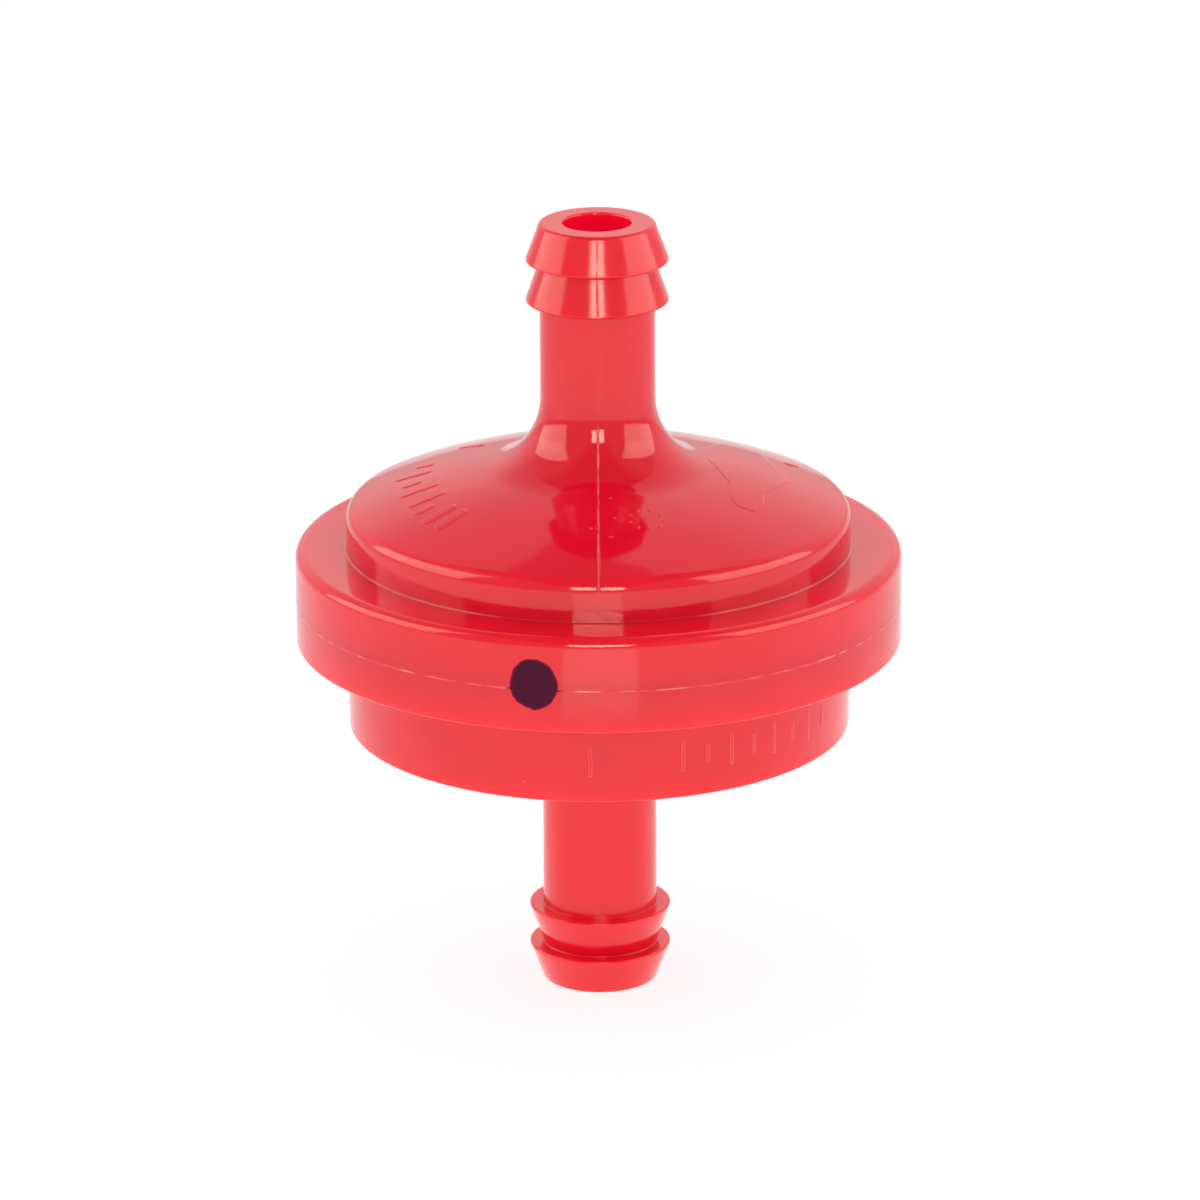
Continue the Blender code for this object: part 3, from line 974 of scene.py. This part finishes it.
def white_floor(colours):
    """White floor that keeps a soft shadow and looks open from below."""
    material, tree, output = new_material("white_floor")
    light_path = tree.nodes.new("ShaderNodeLightPath").outputs
    place = tree.nodes.new("ShaderNodeTexCoord").outputs["Object"]
    depth = node(tree, "ShaderNodeSeparateXYZ", Vector=place).outputs["Y"]
    matt = node(tree, "ShaderNodeBsdfDiffuse", Color=(*colours.floor, 1.0))
    paper = node(tree, "ShaderNodeEmission", Color=(1.0, 1.0, 1.0, 1.0), Strength=FLOOR_OWN_LIGHT)
    shine = spread(tree, depth, -0.03, 0.07, *FLOOR_SHEEN)
    sheen = node(tree, "ShaderNodeEmission", Color=(1.0, 1.0, 1.0, 1.0), Strength=shine)
    bounce = node(tree, "ShaderNodeEmission", Color=(1.0, 1.0, 1.0, 1.0), Strength=FLOOR_BOUNCE)
    lit = node(tree, "ShaderNodeAddShader", i0=matt.outputs[0], i1=bounce.outputs[0])
    glossy = node(
        tree, "ShaderNodeMixShader", Fac=light_path["Is Glossy Ray"], i1=lit.outputs[0], i2=sheen.outputs[0]
    )
    direct = node(tree, "ShaderNodeMixShader", Fac=0.7, i1=matt.outputs[0], i2=paper.outputs[0])
    to_camera = light_path["Is Camera Ray"]
    seen = node(tree, "ShaderNodeMixShader", Fac=to_camera, i1=glossy.outputs[0], i2=direct.outputs[0])
    clear = tree.nodes.new("ShaderNodeBsdfTransparent")
    under = tree.nodes.new("ShaderNodeNewGeometry").outputs["Backfacing"]
    both = node(tree, "ShaderNodeMixShader", Fac=under, i1=seen.outputs[0], i2=clear.outputs[0])
    tree.links.new(both.outputs[0], output.inputs["Surface"])
    return material


def lay_floor(colours):
    """A round floor under the filter."""
    bm = bmesh.new()
    bmesh.ops.create_circle(bm, cap_ends=True, segments=96, radius=FLOOR_R)
    mesh = bpy.data.meshes.new("floor")
    bm.to_mesh(mesh)
    bm.free()
    mesh.materials.append(white_floor(colours))
    floor = bpy.data.objects.new("floor", mesh)
    bpy.context.scene.collection.objects.link(floor)


def set_world():
    """White surroundings: plain white to the camera, soft fill light, and dim walls in reflections."""
    world = bpy.data.worlds.new("studio")
    bpy.context.scene.world = world
    world.use_nodes = True
    tree = world.node_tree
    tree.nodes.clear()
    output = tree.nodes.new("ShaderNodeOutputWorld")
    light_path = tree.nodes.new("ShaderNodeLightPath").outputs
    direction = tree.nodes.new("ShaderNodeTexCoord").outputs["Generated"]
    parts = node(tree, "ShaderNodeSeparateXYZ", Vector=direction).outputs
    height = parts["Z"]
    right = spread(tree, parts["X"], -0.01, 0.01, 0.0, 1.0)
    in_front = maths(tree, "LESS_THAN", parts["Y"], 0.0)
    left_wall = spread(tree, height, 0.42, 0.60, *LEFT_WALL)
    right_wall = spread(tree, height, 0.57, 0.77, *RIGHT_WALL)
    wall = blend_values(tree, right, left_wall, right_wall)
    ceiling = maths(tree, "MAXIMUM", height, 0.05)
    over_x = maths(tree, "DIVIDE", parts["X"], ceiling)
    over_y = maths(tree, "DIVIDE", parts["Y"], ceiling)
    left_edge = spread(tree, over_x, -0.25, 0.0, 0.54, 0.86)
    right_edge = spread(tree, over_x, 0.0, 0.3, 0.61, 0.37)
    past_edge = maths(tree, "SUBTRACT", over_y, blend_values(tree, right, left_edge, right_edge))
    wall = maths(tree, "MULTIPLY", wall, spread(tree, past_edge, -0.015, 0.02, 0.0, 1.0))
    ahead = maths(tree, "MULTIPLY", in_front, spread(tree, height, 0.75, 0.95, 1.0, 0.0))
    wall = maths(tree, "MULTIPLY", wall, spread(tree, height, 0.0, 0.22, 0.65, 1.0))
    walls = maths(tree, "ADD", wall, maths(tree, "MULTIPLY", ahead, FRONT_WALL))
    sides = spread(tree, maths(tree, "ABSOLUTE", over_x), 0.35, 0.6, OVERHEAD, SIDE_WALL)
    walls = maths(tree, "MAXIMUM", walls, sides)
    glossy = light_path["Is Glossy Ray"]
    strength = maths(
        tree, "ADD",
        maths(tree, "MULTIPLY", glossy, walls),
        maths(tree, "MULTIPLY", maths(tree, "SUBTRACT", 1.0, glossy), FILL_LIGHT),
    )
    seen = maths(tree, "MAXIMUM", light_path["Is Camera Ray"], light_path["Is Transmission Ray"])
    strength = maths(
        tree, "ADD",
        maths(tree, "MULTIPLY", maths(tree, "SUBTRACT", 1.0, seen), strength), seen,
    )
    light = node(tree, "ShaderNodeBackground", Color=(1.0, 1.0, 1.0, 1.0), Strength=strength)
    tree.links.new(light.outputs[0], output.inputs["Surface"])


def set_lamps():
    """A softbox on each side, a small one over the camera, and the glint of that one on the floor."""
    middle = (0.0, 0.0, SEAM_Z)
    for name, (x, y), (facing_x, facing_y), width in SIDE_BOXES:
        facing = Vector((facing_x, facing_y, 0.0))
        centre = Vector((x, y, (BOX_LOW + BOX_HIGH) / 2))
        add_softbox(name, centre, (width, BOX_HIGH - BOX_LOW), centre + facing, BOX_RADIANCE)
        back = Vector((-facing_y, facing_x, 0.0)) * math.copysign(1.0, facing_x)
        core = Vector((x, y, CORE_Z)) + facing * 0.003 - back * 0.16 * width
        add_softbox(name + "_core", core, (0.58 * width, CORE_HEIGHT), core + facing, CORE_RADIANCE)
    add_softbox("front_softbox", (0.0, -0.37, 0.175), (0.15, 0.13), middle, 10.0)
    add_softbox("floor_glint", (0.0, -0.095, 0.001), (0.036, 0.04), (0.0, -0.095, 1.0), 0.9)


class MouldInletShell(bpy.types.Operator):
    """Models the inlet shell: nipple, dome, step and upper half of the flange"""

    bl_idname = "fuel_filter.mould_inlet_shell"
    bl_label = "Mould Inlet Shell"

    def execute(self, context):
        colours = context.scene.filter_colours
        mould_inlet_shell(context.scene.filter_sizes, red_plastic("inlet_red", colours))
        return {"FINISHED"}


class MouldOutletShell(bpy.types.Operator):
    """Models the outlet shell: lower half of the flange, cup, ribs and nipple"""

    bl_idname = "fuel_filter.mould_outlet_shell"
    bl_label = "Mould Outlet Shell"

    def execute(self, context):
        colours = context.scene.filter_colours
        mould_outlet_shell(context.scene.filter_sizes, red_plastic("outlet_red", colours))
        return {"FINISHED"}


class WeaveScreen(bpy.types.Operator):
    """Models the woven nylon screen and its rim"""

    bl_idname = "fuel_filter.weave_screen"
    bl_label = "Weave Screen"

    def execute(self, context):
        weave_screen(context.scene.filter_sizes, woven_nylon(context.scene.filter_colours))
        return {"FINISHED"}


class SetStudio(bpy.types.Operator):
    """Sets up the camera, the white floor and the soft lights"""

    bl_idname = "fuel_filter.set_studio"
    bl_label = "Set Studio"

    def execute(self, context):
        set_camera()
        lay_floor(context.scene.filter_colours)
        set_world()
        set_lamps()
        context.scene.view_settings.view_transform = "Standard"
        return {"FINISHED"}


class FilterPanel(bpy.types.Panel):
    """Sizes, colours and steps of the fuel filter"""

    bl_idname = "VIEW3D_PT_fuel_filter"
    bl_label = "Inline Fuel Filter"
    bl_space_type = "VIEW_3D"
    bl_region_type = "UI"
    bl_category = "Fuel Filter"

    def draw(self, context):
        for group in (context.scene.filter_sizes, context.scene.filter_colours):
            column = self.layout.column(align=True)
            for name in group.__annotations__:
                column.prop(group, name)
        for operator in OPERATORS:
            self.layout.operator(operator.bl_idname)


OPERATORS = (MouldInletShell, MouldOutletShell, WeaveScreen, SetStudio)
CLASSES = (FilterSizes, FilterColours, *OPERATORS, FilterPanel)


def register():
    for item in CLASSES:
        bpy.utils.register_class(item)
    bpy.types.Scene.filter_sizes = PointerProperty(type=FilterSizes)
    bpy.types.Scene.filter_colours = PointerProperty(type=FilterColours)


def unregister():
    del bpy.types.Scene.filter_colours
    del bpy.types.Scene.filter_sizes
    for item in reversed(CLASSES):
        bpy.utils.unregister_class(item)


def main():
    register()
    bpy.ops.fuel_filter.mould_inlet_shell()
    bpy.ops.fuel_filter.mould_outlet_shell()
    bpy.ops.fuel_filter.weave_screen()
    bpy.ops.fuel_filter.set_studio()


if __name__ == "__main__":
    main()
